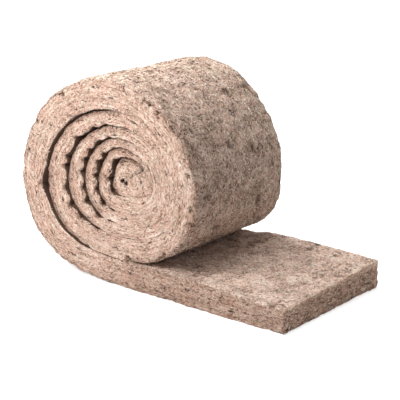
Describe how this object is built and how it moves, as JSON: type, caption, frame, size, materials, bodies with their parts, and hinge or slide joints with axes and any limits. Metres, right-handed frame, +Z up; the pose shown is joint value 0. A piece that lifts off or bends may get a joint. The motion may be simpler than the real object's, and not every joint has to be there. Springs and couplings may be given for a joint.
{
  "type": "insulation roll",
  "caption": "Partly unrolled batt of felted natural fibre for thermal insulation, wound up on itself without a core, its free tail lying flat.",
  "frame": {"origin": "on the floor, at the middle of the whole length and of the batt's width", "axes": "+X towards the cut end of the tail, Y along the roll, +Z up"},
  "size_m": [1.1943, 0.57, 0.7534],
  "materials": {
    "felted_fibre": "felted, matte and fibrous, greyish beige"
  },
  "bodies": {
    "root": {"insulation_batt": "felted_fibre"}
  },
  "joints": []
}
